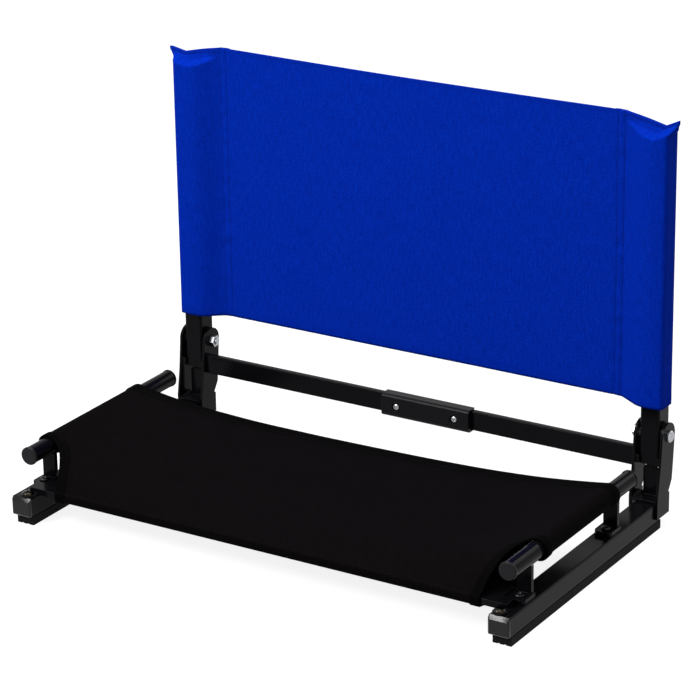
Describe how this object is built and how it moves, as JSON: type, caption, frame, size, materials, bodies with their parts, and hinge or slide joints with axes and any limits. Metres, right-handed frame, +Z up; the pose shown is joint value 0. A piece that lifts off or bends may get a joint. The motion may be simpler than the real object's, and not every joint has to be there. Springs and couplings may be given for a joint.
{
  "type": "stadium chair",
  "caption": "Low folding bleacher seat: base rails, a black cloth seat on round tubes, a rear bar with a carry grip and a blue cloth back that folds forward.",
  "frame": {"origin": "on the bench plane under the middle of the overall box", "axes": "+Z up, -Y the way the sitter faces, +X along the width towards the right side of the picture"},
  "size_m": [0.5254, 0.299, 0.3789],
  "materials": {
    "black_coat": "glossy black powder coat on steel",
    "black_plastic": "moulded black plastic, satin",
    "tread_rubber": "black rubber strip, dull",
    "zinc": "bright zinc plate on fasteners",
    "dark_steel": "black oxide on fasteners",
    "black_cloth": "stretched black woven cloth, dull",
    "blue_cloth": "royal blue coarse woven cloth with sewn hems"
  },
  "bodies": {
    "base": {"base_rail_left": "black_coat", "base_rail_right": "black_coat", "rail_plug_front_left": "black_plastic", "rail_plug_front_right": "black_plastic", "rail_plug_rear_left": "black_plastic", "rail_plug_rear_right": "black_plastic", "tread_strip_left": "tread_rubber", "tread_strip_right": "tread_rubber", "seat_tube_left": "black_coat", "seat_tube_right": "black_coat", "seat_tube_cap_front_left": "black_plastic", "seat_tube_cap_front_right": "black_plastic", "seat_tube_cap_rear_left": "black_plastic", "seat_tube_cap_rear_right": "black_plastic", "tube_strap_front_left": "black_coat", "tube_strap_front_right": "black_coat", "tube_strap_rear_left": "black_coat", "tube_strap_rear_right": "black_coat", "foot_screw_front_left": "dark_steel", "foot_screw_front_right": "dark_steel", "foot_screw_rear_left": "dark_steel", "foot_screw_rear_right": "dark_steel", "front_bar": "black_coat", "front_bar_screw_left": "zinc", "front_bar_screw_right": "zinc", "pivot_bracket_left": "black_coat", "pivot_bracket_right": "black_coat", "pivot_bolt_left": "zinc", "pivot_bolt_right": "zinc", "pivot_washer_outer_left": "zinc", "pivot_washer_outer_right": "zinc", "pivot_washer_inner_left": "zinc", "pivot_washer_inner_right": "zinc", "pivot_nut_left": "zinc", "pivot_nut_right": "zinc", "rear_cross_bar": "black_coat", "carry_grip": "black_plastic", "grip_screw_left": "zinc", "grip_screw_right": "zinc", "seat_cover": "black_cloth"},
    "backrest": {"back_post_left": "black_coat", "back_post_right": "black_coat", "post_cap_left": "black_plastic", "post_cap_right": "black_plastic", "back_cover": "blue_cloth"}
  },
  "joints": [
    {"name": "back_fold", "type": "hinge", "parent": "base", "child": "backrest", "pos_m": [0, 0.1371, 0.086], "axis": [1, 0, 0], "range_deg": [0, 90]}
  ]
}
